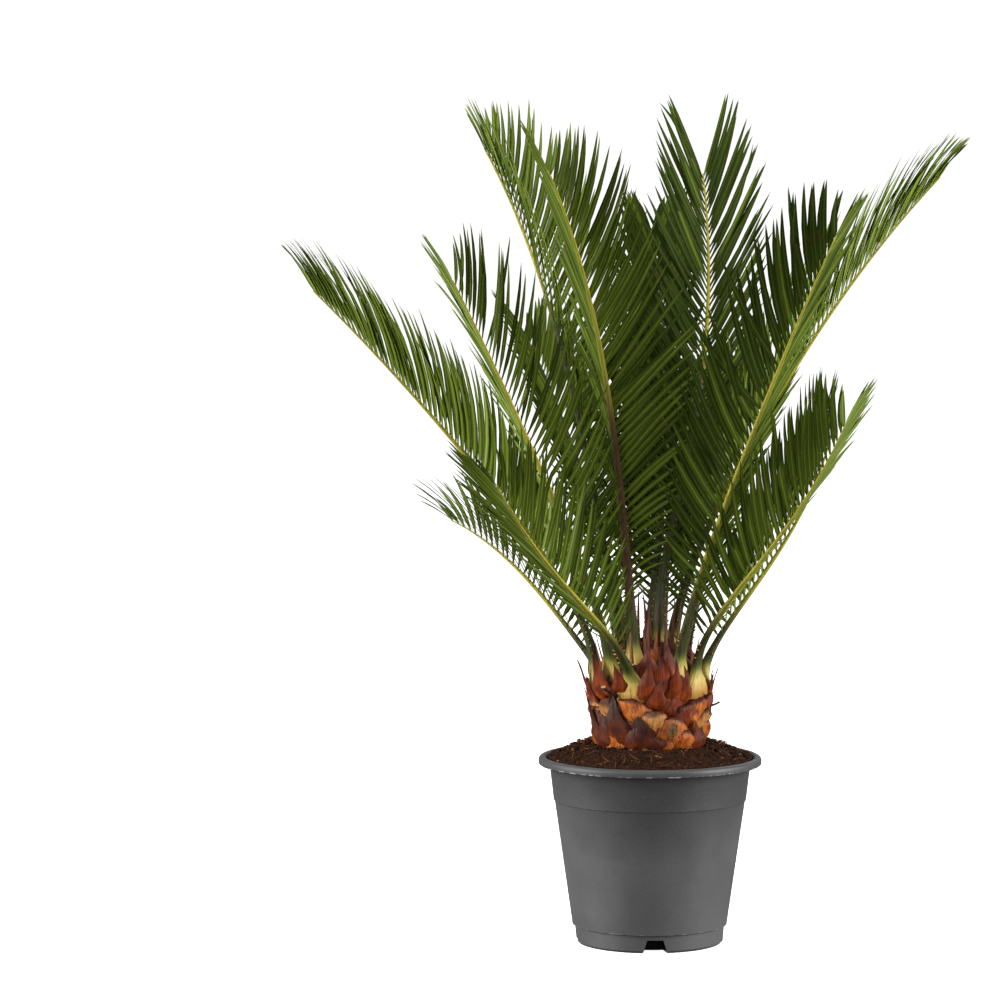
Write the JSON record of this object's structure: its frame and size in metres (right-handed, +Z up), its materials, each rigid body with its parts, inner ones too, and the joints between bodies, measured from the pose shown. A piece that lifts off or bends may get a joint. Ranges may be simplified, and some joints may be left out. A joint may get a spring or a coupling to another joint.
{
  "type": "potted sago palm",
  "caption": "Young sago palm with stiff feathery fronds over a short scaly trunk, rooted in soil in a round nursery pot.",
  "frame": {"origin": "middle of the pot's flat underside", "axes": "+Z up along the pot's axis, -Y towards the viewer of the front, +X to the viewer's right"},
  "size_m": [0.454, 0.4635, 0.5715],
  "materials": {
    "pot_plastic": "matte mid-grey injection moulded plastic with fine scuffs",
    "potting_soil": "dark brown fibrous peat",
    "trunk_scales": "dry red-brown and tan leaf bases and pointed scales",
    "frond_green": "leathery semi-gloss deep green leaflets on a yellow-green rib"
  },
  "bodies": {
    "root": {"pot": "pot_plastic", "soil": "potting_soil", "trunk": "trunk_scales", "frond_left_outer": "frond_green", "frond_left_front": "frond_green", "frond_front_low": "frond_green", "frond_left_low": "frond_green", "frond_left_tall": "frond_green", "frond_front_tall": "frond_green", "frond_centre_tall": "frond_green", "frond_right_front": "frond_green", "frond_right_tall": "frond_green", "frond_right_low": "frond_green", "frond_right_outer": "frond_green", "frond_back_tall": "frond_green", "frond_back_left": "frond_green", "frond_back_middle": "frond_green", "frond_back_right": "frond_green"}
  },
  "joints": []
}
